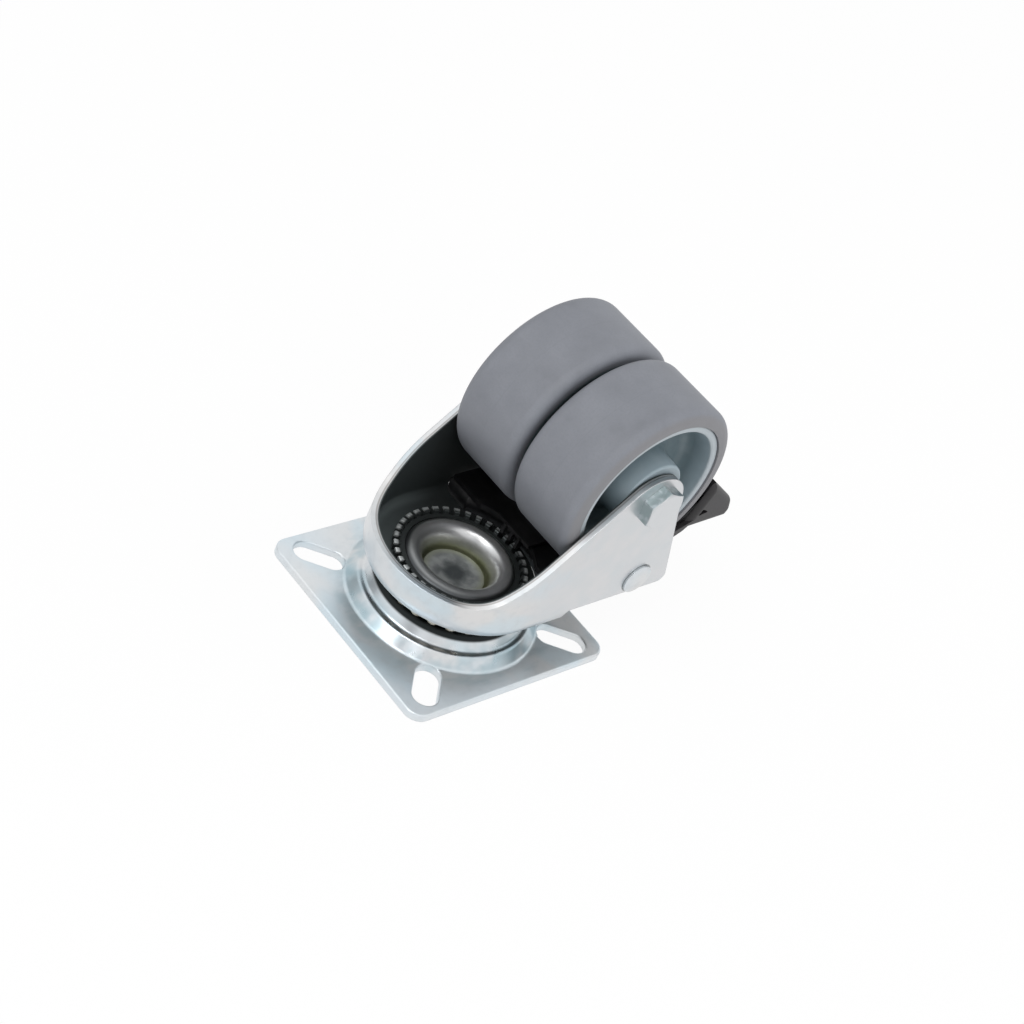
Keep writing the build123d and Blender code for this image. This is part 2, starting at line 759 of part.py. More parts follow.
build_order = {
    "mounting_plate": mounting_plate(),
    "outer_balls": ball_row(outer_ball_circle, outer_ball_height, outer_ball_radius, outer_ball_count),
    "fork": fork(),
    "inner_balls": ball_row(inner_ball_circle, inner_ball_height, inner_ball_radius, inner_ball_count),
    "swivel_cup": swivel_cup(),
    "lock_ring": lock_ring(),
    "king_rivet": king_rivet(),
    "axle_bolt": axle_bolt(),
    "axle_nut": axle_nut(),
    "axle_sleeve": axle_sleeve(),
    "centre_washer": centre_washer(),
    "hub_near": hub(-1),
    "hub_far": hub(1),
    "tyre_near": tyre(-1),
    "tyre_far": tyre(1),
    "brake_pedal": brake_pedal(),
    "pivot_rivet": pivot_rivet(),
    "brake_lever": brake_lever(),
    "lock_spring": lock_spring(),
    "lever_rivets": lever_rivets(),
    "detent_spring": detent_spring(),
}
os.makedirs("parts", exist_ok=True)
for node, shape in build_order.items():
    export_step(shape, f"parts/{node}.step")
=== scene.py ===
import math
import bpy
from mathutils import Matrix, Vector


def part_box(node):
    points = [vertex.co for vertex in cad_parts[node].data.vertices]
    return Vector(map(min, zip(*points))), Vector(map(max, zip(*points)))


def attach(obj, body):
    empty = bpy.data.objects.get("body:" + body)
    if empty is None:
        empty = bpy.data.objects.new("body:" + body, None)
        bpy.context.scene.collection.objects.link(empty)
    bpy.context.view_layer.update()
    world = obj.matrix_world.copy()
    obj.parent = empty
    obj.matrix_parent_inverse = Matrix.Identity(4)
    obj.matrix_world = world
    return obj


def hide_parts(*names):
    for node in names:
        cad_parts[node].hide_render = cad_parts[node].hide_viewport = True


bl_info = {
    "name": "Twin-wheel castor",
    "version": (1, 0),
    "blender": (4, 5, 0),
    "location": "3D View > Sidebar > Castor",
    "description": "Dresses the castor's metal, plastic and rubber parts and sets its studio",
    "category": "Object",
}

import bpy
import numpy as np
from mathutils import Matrix, Vector

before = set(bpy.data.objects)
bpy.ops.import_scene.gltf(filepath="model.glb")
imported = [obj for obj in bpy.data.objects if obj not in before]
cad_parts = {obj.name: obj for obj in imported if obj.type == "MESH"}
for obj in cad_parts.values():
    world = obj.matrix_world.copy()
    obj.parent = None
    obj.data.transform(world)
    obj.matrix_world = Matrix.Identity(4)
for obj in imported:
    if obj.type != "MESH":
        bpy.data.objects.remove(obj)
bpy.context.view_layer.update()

# Places in the frame, in metres, read from the solids where they show them
MM = 0.001
TYRE_LOW, TYRE_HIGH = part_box("tyre_near")
AXLE_X = (TYRE_LOW.x + TYRE_HIGH.x) / 2
AXLE_Z = (TYRE_LOW.z + TYRE_HIGH.z) / 2
HUB_FACE = abs(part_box("hub_near")[0].y)
HUB_RIM = abs(TYRE_LOW.y) - 0.4 * MM
HUB_LIP_INNER, HUB_LIP_OUTER = 18.4 * MM, 19.2 * MM
FORK_HALF_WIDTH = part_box("fork")[1].y
CUP_LOW, CUP_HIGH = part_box("swivel_cup")
CUP_SHEET = 1.5 * MM
CUP_FLOOR = CUP_LOW.z + CUP_SHEET
KING_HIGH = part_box("king_rivet")[1]
RING_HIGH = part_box("lock_ring")[1]
BALLS_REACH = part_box("outer_balls")[1].x
BOLT_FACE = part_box("axle_bolt")[0].y

# The plate's sheet ends at PLATE_TOP, and its dome's top is the outer balls' race
PLATE_TOP = 2.0 * MM
DOME_SHOULDER = 6.6 * MM
RACE_EDGE = BALLS_REACH + 0.2 * MM
DOME_FOOT = BALLS_REACH + 6.2 * MM

# The fork's bend, whose inner radius is BEND_RADIUS in sheet of 2 mm
FORK_SHEET = 2.0 * MM
BEND_RADIUS = 2.8 * MM
BEND_ACROSS = FORK_HALF_WIDTH - FORK_SHEET - BEND_RADIUS
BEND_HEIGHT = 16.7 * MM
CROWN_UNDER = 12.5 * MM

PIVOT_LOW, PIVOT_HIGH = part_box("pivot_rivet")
PIVOT_X = (PIVOT_LOW.x + PIVOT_HIGH.x) / 2
PIVOT_Z = (PIVOT_LOW.z + PIVOT_HIGH.z) / 2
PIVOT_REACH = (PIVOT_HIGH.x - PIVOT_LOW.x) / 2

# The lever's lip hangs just behind the crown's rear edge, with its top inside the lever's web
LEVER_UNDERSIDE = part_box("brake_lever")[0].z
LIP_FRONT = 14.0 * MM
LIP_REACH = 20.6 * MM
LIP_BOTTOM = 12.9 * MM
LIP_SHEET = 1.0 * MM
LIP_HALF_WIDTH = 22.52 * MM
SPRING_HALF_WIDTH = 6.0 * MM
SPRING_UNDERSIDE = 15.3 * MM


class Socket:
    """One output of a shader's node. Arithmetic on it adds the Math nodes that work it out."""

    def __init__(self, shader, link):
        self.shader = shader
        self.link = link

    def maths(self, operation, first, second=0.0):
        return self.shader.node("Math", {"operation": operation}, {0: first, 1: second})

    def __add__(self, other):
        return self.maths("ADD", self, other)

    def __radd__(self, other):
        return self.maths("ADD", other, self)

    def __sub__(self, other):
        return self.maths("SUBTRACT", self, other)

    def __rsub__(self, other):
        return self.maths("SUBTRACT", other, self)

    def __mul__(self, other):
        return self.maths("MULTIPLY", self, other)

    def __rmul__(self, other):
        return self.maths("MULTIPLY", other, self)

    def __abs__(self):
        return self.maths("ABSOLUTE", self)

    def root(self):
        return self.maths("SQRT", self)

    def ramp(self, low, high):
        """0 up to low, 1 from high on, and a smooth rise between them. high may be the smaller one."""
        settings = {"interpolation_type": "SMOOTHSTEP", "clamp": True}
        return self.shader.node("MapRange", settings, {0: self, 1: low, 2: high, 3: 0.0, 4: 1.0})

    def band(self, middle, half_width, soft):
        """1 within half_width of middle, falling to 0 over a soft margin."""
        return abs(self - middle).ramp(half_width + soft, half_width)


class Shader:
    """A material under construction, with Object coordinates and the arithmetic of its masks."""

    def __init__(self, name):
        self.material = bpy.data.materials.new(name)
        self.material.use_nodes = True
        self.tree = self.material.node_tree
        self.surface = self.tree.nodes["Principled BSDF"]
        self.place = self.node("TexCoord", output="Object")

    def node(self, kind, settings=None, inputs=None, output=0):
        """Add a node: first its settings, then the values or links of its sockets."""
        made = self.tree.nodes.new("ShaderNode" + kind)
        for name, value in (settings or {}).items():
            setattr(made, name, value)
        for name, value in (inputs or {}).items():
            self.feed(made.inputs[name], value)
        return Socket(self, made.outputs[output])

    def feed(self, socket, value):
        if isinstance(value, Socket):
            self.tree.links.new(value.link, socket)
        elif isinstance(value, tuple) and len(value) == 3 and socket.type == "RGBA":
            socket.default_value = (*value, 1.0)
        else:
            socket.default_value = value

    def along(self, axis):
        return self.node("SeparateXYZ", inputs={0: self.place}, output=axis)

    def radius(self, first_axis, first_centre, second_axis, second_centre):
        """Distance from a line parallel to the third axis."""
        first = self.along(first_axis) - first_centre
        second = self.along(second_axis) - second_centre
        return (first * first + second * second).root()

    def edge(self, radius):
        """The surface's normal, with sharp edges seen as rounded to a radius."""
        return self.node("Bevel", {"samples": 4}, {"Radius": radius})

    def noise(self, size, detail=3.0, stretch=(1.0, 1.0, 1.0)):
        """Soft random mottling whose patches are about size across, drawn out along a stretched axis."""
        inputs = {0: self.place, 3: tuple(1.0 / (size * factor) for factor in stretch)}
        scaled = self.node("Mapping", {"vector_type": "POINT"}, inputs)
        return self.node("TexNoise", inputs={"Vector": scaled, "Scale": 1.0, "Detail": detail})

    def mix(self, factor, first, second):
        """The first colour where factor is 0, the second where it is 1."""
        return self.node("Mix", {"data_type": "RGBA"}, {0: factor, 6: first, 7: second}, output=2)

    def bump(self, height, distance, strength=1.0, normal=None):
        inputs = {"Height": height, "Distance": distance, "Strength": strength}
        if normal is not None:
            inputs["Normal"] = normal
        return self.node("Bump", inputs=inputs)

    def finish(self, **values):
        """Set the surface's sockets, named with underscores for spaces, and return the material."""
        for name, value in values.items():
            self.feed(self.surface.inputs[name.replace("_", " ").title()], value)
        return self.material


def dress(node, material):
    """Give a CAD node its material."""
    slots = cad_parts[node].material_slots
    for slot in slots:
        slot.material = material


def surface_piece(name, points, closed_u=False, closed_v=False, capped=False):
    """A mesh from a grid of points (rows, columns, 3): each cell of the grid is one face.

    A capped one closes its first and last row with a face of their own.
    """
    rows, columns = points.shape[:2]
    index = np.arange(rows * columns).reshape(rows, columns)
    next_row = np.roll(index, -1, axis=0)
    next_column = np.roll(index, -1, axis=1)
    corner = np.roll(next_row, -1, axis=1)
    last_row = rows if closed_u else rows - 1
    last_column = columns if closed_v else columns - 1
    cells = np.stack([index, next_row, corner, next_column], axis=-1)[:last_row, :last_column]
    faces = cells.reshape(-1, 4).tolist()
    if capped:
        faces += [index[0].tolist(), index[-1][::-1].tolist()]
    mesh = bpy.data.meshes.new(name)
    mesh.from_pydata(points.reshape(-1, 3).tolist(), [], faces)
    mesh.polygons.foreach_set("use_smooth", np.ones(len(faces), bool))
    mesh.update()
    piece = bpy.data.objects.new(name, mesh)
    bpy.context.scene.collection.objects.link(piece)
    return piece


def eased(start, end, count):
    """Count values from start to end that begin and end slowly: the share is (1 - cos(pi s)) / 2."""
    share = np.linspace(0.0, 1.0, count)
    return start + (end - start) * (1 - np.cos(math.pi * share)) / 2


def plating(shader, settings, blue=0.7):
    """Colour of the zinc plating: cool and warm clouds that are painted reflections, a pale blue bloom that
    is partly the passivation's tint and partly painted reflection, and small duller flecks.
    """
    fleck = shader.noise(2.2 * MM, 5.0)
    bloom = shader.noise(13 * MM, 1.5, (1.0, 1.6, 0.7)).ramp(0.50, 0.66)
    warm = shader.noise(22 * MM, 1.0, (1.0, 1.0, 0.5)).ramp(0.35, 0.68)
    colour = shader.mix(warm, settings.steel_cool[:], settings.steel_warm[:])
    colour = shader.mix(bloom * blue, colour, settings.steel_blue[:])
    return shader.mix(fleck.ramp(0.45, 0.75) * 0.3, colour, settings.steel_worn[:])


def plated_normal(shader, edge_radius, strength):
    """Fine rolling grain and spangle over edges that are seen as rounded."""
    spangle = shader.noise(1.1 * MM, 3.0)
    grain = shader.noise(0.32 * MM, 2.0, (3.0, 1.0, 1.0))
    return shader.bump(spangle * 0.6 + grain * 0.4, 0.02 * MM, strength, shader.edge(edge_radius))


def zinc(name, settings, edge_radius=0.3 * MM, roughness=0.22):
    """Bright zinc plating on a plain piece."""
    shader = Shader(name)
    colour = plating(shader, settings)
    cloud = shader.noise(5 * MM, 3.0)
    normal = plated_normal(shader, edge_radius, 0.3)
    return shader.finish(
        base_color=colour, metallic=1.0, roughness=roughness + cloud * 0.12, normal=normal
    )


class CastorSettings(bpy.types.PropertyGroup):
    """Colours of the castor that a user would change."""

    def colour(name, description, value):
        return bpy.props.FloatVectorProperty(
            name=name, description=description, default=value, size=3, min=0.0, max=1.0, subtype="COLOR"
        )

    steel_cool: colour("Steel, cool", "Plating where it reflects bluish", (0.655, 0.70, 0.735))
    steel_warm: colour("Steel, warm", "Plating where it reflects warmer", (0.715, 0.71, 0.705))
    # The blue bloom is partly the passivation's own tint and partly painted reflection.
    steel_blue: colour("Steel, blue", "Pale blue bloom of the passivation", (0.56, 0.69, 0.76))
    steel_worn: colour("Steel, dull", "Plating where it has dulled", (0.50, 0.53, 0.55))
    # Painted shade: near black for the shade inside the fork and under the crown, and for grease with shade
    # on the dome's race.
    shadowed_steel: colour("Steel, inside", "Oily metal inside the fork", (0.007, 0.010, 0.010))
    tyre_colour: colour("Tyre", "Rubber of the tyres", (0.205, 0.216, 0.243))
    hub_colour: colour("Hub", "Moulded plastic of the hubs", (0.29, 0.36, 0.40))
    pedal_colour: colour("Pedal", "Moulded plastic of the pedal", (0.016, 0.015, 0.016))
    grease_colour: colour("Grease", "Grease film in the swivel cup", (0.30, 0.31, 0.15))
    # Painted shade: the brake's lever and springs are painted near black for the shade they sit in.
    brake_steel_shade: colour("Blackened steel", "Springs and lever of the brake", (0.010, 0.010, 0.011))


class CastorPressings(bpy.types.Operator):
    """Zinc-plated pressings: plate, fork, cup and lock ring"""

    bl_idname = "castor.pressings"
    bl_label = "Pressings"

    def execute(self, context):
        settings = context.scene.castor
        dress("mounting_plate", self.plate(settings))
        dress("fork", self.fork(settings))
        dress("lock_ring", self.ring(settings))
        cup = self.cup_shape()
        cup.data.materials.append(self.cup(settings))
        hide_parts("swivel_cup")
        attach(cup, "base")
        return {"FINISHED"}

    def cup_shape(self):
        """The cup with its lip rolled over: a closed section carried round the swivel axis.

        With a from 0 to 90 degrees, the visible side first leans out of the throat to the crest,
        r = throat + (crest - throat)(1 - cos a) and z = foot + (rim - foot) sin a. Then it rolls over
        to the edge, r = crest + (edge - crest) sin a and z = rim - roll (1 - cos a). The hidden side
        goes back under the lip, its radius eased from lip to throat, to the flat floor.
        """
        rim, edge = CUP_HIGH.z, CUP_HIGH.x
        crest, roll = 11.5 * MM, 1.2 * MM
        throat = KING_HIGH.x + 0.7 * MM
        foot = CUP_FLOOR + 0.6 * MM
        lip_under = 14.6 * MM
        floor_hole = 4.0 * MM
        floor_under = CUP_FLOOR - CUP_SHEET
        turn = np.linspace(0.0, math.pi / 2, 16)
        inner_r = throat + (crest - throat) * (1 - np.cos(turn))
        inner_z = foot + (rim - foot) * np.sin(turn)
        outer_r = crest + (edge - crest) * np.sin(turn[1:])
        outer_z = rim - roll * (1 - np.cos(turn[1:]))
        under_r = np.array([edge, 10.9 * MM])
        under_z = np.array([lip_under, lip_under])
        back_r = eased(10.5 * MM, throat + 1.35 * MM, 12)
        back_z = np.linspace(14.1 * MM, 8.6 * MM, 12)
        foot_r = np.array([throat + 0.6 * MM, floor_hole, floor_hole, throat - 0.7 * MM])
        foot_z = np.array([floor_under, floor_under, CUP_FLOOR, CUP_FLOOR])
        reach = np.concatenate([inner_r, outer_r, under_r, back_r, foot_r])
        height = np.concatenate([inner_z, outer_z, under_z, back_z, foot_z])
        around = np.linspace(0.0, 2 * math.pi, 145)[:-1, None]
        points = np.stack(
            [reach * np.cos(around), reach * np.sin(around), height + 0 * around], axis=-1
        )
        return surface_piece("rolled_cup", points, closed_u=True, closed_v=True)

    def plate(self, settings):
        """Bright plate, with painted reflections as blue streaks and a teal band near the dome's foot, a
        paler flat top as painted light, and the race on the dome's top painted near black for grease and
        painted shade.
        """
        shader = Shader("plated_plate")
        height = shader.along(2)
        reach = shader.radius(0, 0.0, 1, 0.0)
        on_dome = height.ramp(DOME_SHOULDER, DOME_SHOULDER + 0.6 * MM)
        race = reach.ramp(RACE_EDGE + 1.6 * MM, RACE_EDGE + 0.9 * MM) * on_dome
        flat = height.ramp(PLATE_TOP + 0.6 * MM, PLATE_TOP + 0.1 * MM)
        pressed = reach.band(DOME_FOOT, 1.6 * MM, 2.4 * MM)
        cloud = shader.noise(4 * MM, 3.0)
        colour = plating(shader, settings)
        # Painted reflection: blue streaks over the dome's foot and a teal band just inside it.
        reflected_streak = shader.noise(8 * MM, 3.0, (1.5, 0.6, 1.0)).ramp(0.42, 0.62)
        colour = shader.mix(pressed * reflected_streak * 0.6, colour, (0.34, 0.47, 0.52))
        teal_reflection = reach.band(DOME_FOOT - 3.0 * MM, 1.4 * MM, 2.0 * MM)
        teal_reflection = teal_reflection * shader.noise(7 * MM, 2.0).ramp(0.4, 0.6)
        colour = shader.mix(teal_reflection * 0.55, colour, (0.30, 0.44, 0.50))
        # Painted shade with grease: the race on the dome's top, in the gap under the fork, is painted near
        # black.
        colour = shader.mix(race * 0.97, colour, settings.shadowed_steel[:])
        # Painted light: the flat of the plate is tinted paler, as if more brightly lit.
        colour = shader.mix(flat * 0.3, colour, (0.76, 0.84, 0.89))
        roughness = 0.23 + cloud * 0.12 + flat * 0.08 + race * 0.2
        normal = plated_normal(shader, 0.35 * MM, 0.3)
        return shader.finish(
            base_color=colour, metallic=1 - flat * 0.25, roughness=roughness, normal=normal
        )

    def fork(self, settings):
        """Plated outside; inside and under the crown it is painted near black as painted shade, lighter
        towards the front.

        The distance from the bend's axis tells inside from outside: it is the bend's radius on the
        inner skin and a sheet's thickness more on the outer one, on the flats beside the bend too.
        """
        shader = Shader("plated_fork")
        height = shader.along(2)
        front = shader.along(0).ramp(0.3 * MM, -0.3 * MM)
        across = abs(shader.along(1)) * (1 - front) + shader.radius(0, 0.0, 1, 0.0) * front
        beyond = shader.node("Math", {"operation": "MAXIMUM"}, {0: across - BEND_ACROSS, 1: 0.0})
        below = shader.node("Math", {"operation": "MAXIMUM"}, {0: BEND_HEIGHT - height, 1: 0.0})
        from_inside = (beyond * beyond + below * below).root()
        inside = from_inside.ramp(BEND_RADIUS + 0.55 * MM, BEND_RADIUS + 0.2 * MM)
        inner_wall = FORK_HALF_WIDTH - FORK_SHEET
        # The crown's underside, where painted shade goes.
        under = height.ramp(CROWN_UNDER + 0.6 * MM, CROWN_UNDER)
        under = under * across.ramp(inner_wall, inner_wall - 1.2 * MM)
        back = shader.along(0).ramp(-16.0 * MM, 12.0 * MM)
        from_pivot = shader.radius(0, PIVOT_X, 2, PIVOT_Z)
        # Painted shadow: a thin dark ring round the pivot rivet's head.
        rivet_contact_shadow = from_pivot.band(PIVOT_REACH + 0.1 * MM, 0.05 * MM, 0.22 * MM)
        # Painted highlight: a paler line along the bend inside the fork.
        bend_highlight = from_inside.band(BEND_RADIUS, 0.05 * MM, 0.25 * MM)
        bend_highlight = bend_highlight * height.band(BEND_HEIGHT - 1.5 * MM, 0.5 * MM, 1.2 * MM)
        cloud = shader.noise(6 * MM, 3.0)
        leg_metal = shader.mix(cloud.ramp(0.3, 0.7), (0.615, 0.635, 0.65), (0.665, 0.665, 0.675))
        forward = (shader.along(0) + (cloud - 0.5) * 14 * MM).ramp(12 * MM, -12 * MM)
        colour = shader.mix(forward * 0.8 + 0.1, leg_metal, plating(shader, settings, 0.6))
        colour = shader.mix(rivet_contact_shadow * 0.7, colour, (0.10, 0.11, 0.10))
        sheared = from_inside.band(BEND_RADIUS + 0.7 * MM, 0.08 * MM, 0.25 * MM)
        colour = shader.mix(sheared * 0.6, colour, (0.20, 0.18, 0.165))
        # Painted shade inside the fork: dark grey at the front, near black towards the back.
        shadow = shader.mix(back, (0.045, 0.057, 0.058), settings.shadowed_steel[:])
        shadow = shader.mix(bend_highlight * (1 - back) * 0.9, shadow, (0.13, 0.155, 0.155))
        # Painted shade: the inside and the crown's underside are painted near black.
        colour = shader.mix(inside * 0.985, colour, shadow)
        colour = shader.mix(under * 0.97, colour, settings.shadowed_steel[:])
        roughness = 0.27 + cloud * 0.12 + inside * 0.22
        normal = plated_normal(shader, 0.35 * MM, 0.5)
        return shader.finish(
            base_color=colour, metallic=1 - inside * 0.75, roughness=roughness, normal=normal
        )

    def ring(self, settings):
        """The lock ring is painted near black as shade, with painted glints bright on the teeth's tips."""
        shader = Shader("plated_ring")
        reach = shader.radius(0, 0.0, 1, 0.0)
        # Painted glints on the teeth's tips; the rest of the ring is painted near black as shade.
        tip_glint = reach.ramp(RING_HIGH.x - 1.4 * MM, RING_HIGH.x - 0.7 * MM)
        tip_glint = tip_glint * shader.along(2).ramp(RING_HIGH.z - 0.8 * MM, RING_HIGH.z - 0.3 * MM)
        cloud = shader.noise(2.5 * MM, 2.0)
        colour = shader.mix(tip_glint * (0.6 + cloud * 0.4), (0.075, 0.085, 0.085), (0.86, 0.90, 0.90))
        normal = plated_normal(shader, 0.15 * MM, 0.4)
        return shader.finish(base_color=colour, metallic=0.75, roughness=0.3 + cloud * 0.1, normal=normal)

    def cup(self, settings):
        """The cup is bright plating, stained with grease towards its floor, with painted shade darkening
        its left side and the outer edge of its lip.
        """
        shader = Shader("plated_cup")
        height = shader.along(2)
        reach = shader.radius(0, 0.0, 1, 0.0)
        cloud = shader.noise(4 * MM, 3.0)
        deep = height.ramp(CUP_HIGH.z - 1.2 * MM, KING_HIGH.z + 0.2 * MM)
        stain = deep * (0.55 + cloud * 0.45)
        rim = reach.ramp(CUP_HIGH.x - 1.5 * MM, CUP_HIGH.x - 0.5 * MM)
        colour = shader.mix(cloud.ramp(0.4, 0.7) * 0.3, (0.74, 0.745, 0.75), settings.steel_worn[:])
        colour = shader.mix(stain, colour, settings.grease_colour[:])
        # Painted shade: the cup's left side is painted darker.
        left = shader.along(0).ramp(4.0 * MM, -9.0 * MM)
        colour = shader.mix(left * 0.7, colour, (0.15, 0.163, 0.163))
        # Painted shade: the outer edge of the lip, by the groove round it, is painted near black.
        colour = shader.mix(rim * 0.9, colour, (0.05, 0.055, 0.06))
        normal = shader.bump(shader.noise(0.8 * MM, 2.0), 0.02 * MM, 0.4)
        return shader.finish(base_color=colour, metallic=0.85, roughness=0.26 + cloud * 0.14, normal=normal)


class CastorFasteners(bpy.types.Operator):
    """Bolt, nut, rivets, sleeve, washer and balls"""

    bl_idname = "castor.fasteners"
    bl_label = "Bolt, rivets and balls"

    def execute(self, context):
        settings = context.scene.castor
        dress("axle_bolt", self.bolt(settings))
        dress("axle_nut", zinc("plated_nut", settings))
        rivet = self.rivet(settings)
        for node in ("king_rivet", "axle_sleeve", "centre_washer"):
            dress(node, rivet)
        dress("pivot_rivet", self.head(settings))
        balls = self.balls()
        dress("outer_balls", balls)
        dress("inner_balls", balls)
        return {"FINISHED"}

    def bolt(self, settings):
        """The bolt's head is bright on its face, and its flanks are painted darker and greener as shade,
        with paler mottling.
        """
        shader = Shader("plated_bolt")
        across = shader.along(1)
        # Painted shade: the flanks are painted darker and greener than the face.
        flank_shade = across.ramp(BOLT_FACE + 0.1 * MM, BOLT_FACE + 0.5 * MM)
        cloud = shader.noise(1.6 * MM, 3.0)
        colour = shader.mix(flank_shade * 0.9, (0.64, 0.655, 0.67), (0.33, 0.41, 0.42))
        colour = shader.mix(flank_shade * cloud.ramp(0.45, 0.65) * 0.5, colour, settings.steel_cool[:])
        normal = shader.bump(cloud, 0.05 * MM, 0.3, plated_normal(shader, 0.13 * MM, 0.4))
        return shader.finish(base_color=colour, metallic=1.0, roughness=0.24 + cloud * 0.16, normal=normal)

    def rivet(self, settings):
        """Rivet steel is mottled with grease, and darker towards the middle of the head."""
        shader = Shader("rivet_steel")
        cloud = shader.noise(2.6 * MM, 4.0)
        reach = shader.radius(0, 0.0, 1, 0.0)
        near_axis = shader.along(2).ramp(KING_HIGH.z + 1.0 * MM, KING_HIGH.z)
        centre = (reach + (cloud - 0.5) * 2.5 * MM).ramp(5.6 * MM, 1.4 * MM) * near_axis
        rim = reach.ramp(KING_HIGH.x - 2.2 * MM, KING_HIGH.x - 0.4 * MM) * near_axis
        colour = shader.mix(cloud.ramp(0.35, 0.7), (0.24, 0.255, 0.26), (0.38, 0.40, 0.40))
        colour = shader.mix(rim * 0.6, colour, (0.36, 0.38, 0.28))
        colour = shader.mix(centre * 0.85, colour, (0.045, 0.055, 0.06))
        normal = shader.bump(cloud, 0.08 * MM, 0.6)
        return shader.finish(base_color=colour, metallic=0.45, roughness=0.36 + cloud * 0.16, normal=normal)

    def head(self, settings):
        """The pivot rivet's pressed heads are as bright as the fork that they are set in."""
        return zinc("pivot_steel", settings, 0.15 * MM, 0.3)

    def balls(self):
        """Polished ball steel under a thin film of grease."""
        shader = Shader("ball_steel")
        film = shader.noise(2 * MM, 2.0)
        colour = shader.mix(film.ramp(0.4, 0.7) * 0.7, (0.82, 0.78, 0.70), (0.40, 0.34, 0.22))
        return shader.finish(base_color=colour, metallic=0.5, roughness=0.06 + film * 0.15)


class CastorTyres(bpy.types.Operator):
    """Grey rubber tyres"""

    bl_idname = "castor.tyres"
    bl_label = "Tyres"

    def execute(self, context):
        settings = context.scene.castor
        for node in ("tyre_near", "tyre_far"):
            dress(node, self.rubber(node, settings))
        return {"FINISHED"}

    def rubber(self, node, settings):
        """Matte rubber: mould seam round the middle, turning lines across it and slight dust."""
        shader = Shader("rubber_" + node)
        low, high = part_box(node)
        across = shader.along(1)
        dust = shader.noise(7 * MM, 4.0)
        fine = shader.noise(0.5 * MM, 3.0)
        lines = shader.noise(0.9 * MM, 2.0, (30.0, 1.0, 30.0))
        seam = across.band((low.y + high.y) / 2, 0.05 * MM, 0.14 * MM)
        lighter = tuple(1.18 * part for part in settings.tyre_colour)
        darker = tuple(0.82 * part for part in settings.tyre_colour)
        colour = shader.mix(dust.ramp(0.4, 0.75) * 0.5, settings.tyre_colour[:], lighter)
        colour = shader.mix(dust.ramp(0.45, 0.25) * 0.5, colour, darker)
        colour = shader.mix(seam * 0.2, colour, darker)
        colour = shader.mix(fine.ramp(0.4, 0.7) * 0.22, colour, darker)
        # Painted shade: the tyres are painted darker towards the bottom.
        low_side_shade = shader.along(2).ramp(58 * MM, 32 * MM)
        colour = shader.mix(low_side_shade * 0.35, colour, tuple(0.68 * part for part in settings.tyre_colour))
        shoulder = abs(across).ramp(HUB_RIM - 0.6 * MM, HUB_RIM + 0.3 * MM)
        colour = shader.mix(shoulder * 0.5, colour, (0.215, 0.205, 0.205))
        normal = shader.bump(seam, 0.03 * MM, 0.35)
        normal = shader.bump(fine * 0.5 + lines * 0.5, 0.06 * MM, 0.6, normal)
        return shader.finish(base_color=colour, roughness=0.5 + dust * 0.12, normal=normal)


class CastorHubs(bpy.types.Operator):
    """Moulded hubs"""

    bl_idname = "castor.hubs"
    bl_label = "Hubs"

    def execute(self, context):
        plastic = self.plastic(context.scene.castor)
        dress("hub_near", plastic)
        dress("hub_far", plastic)
        return {"FINISHED"}

    def plastic(self, settings):
        """Blue-grey plastic, with a painted highlight making the lip of the rim paler and painted shade
        making the dish darker.
        """
        shader = Shader("hub_plastic")
        side = abs(shader.along(1))
        # Painted shade: darker down in the dish.
        dish_shade = side.ramp(HUB_FACE - 1.2 * MM, HUB_FACE - 8.5 * MM)
        flow = shader.noise(6 * MM, 3.0)
        reach = shader.radius(0, AXLE_X, 2, AXLE_Z)
        # Painted highlight: the lip of the rim is painted paler.
        lip = reach.ramp(HUB_LIP_INNER, HUB_LIP_OUTER)
        lip = lip * side.ramp(HUB_RIM - 0.9 * MM, HUB_RIM - 0.3 * MM)
        colour = shader.mix(dish_shade * 0.8, settings.hub_colour[:], (0.13, 0.18, 0.20))
        colour = shader.mix(flow.ramp(0.45, 0.8) * 0.18, colour, (0.42, 0.47, 0.49))
        colour = shader.mix(lip * 0.85, colour, (0.42, 0.465, 0.495))
        turning = shader.noise(0.6 * MM, 2.0, (20.0, 1.0, 20.0))
        normal = shader.bump(turning, 0.03 * MM, 0.3)
        return shader.finish(base_color=colour, roughness=0.36 + flow * 0.1, normal=normal)


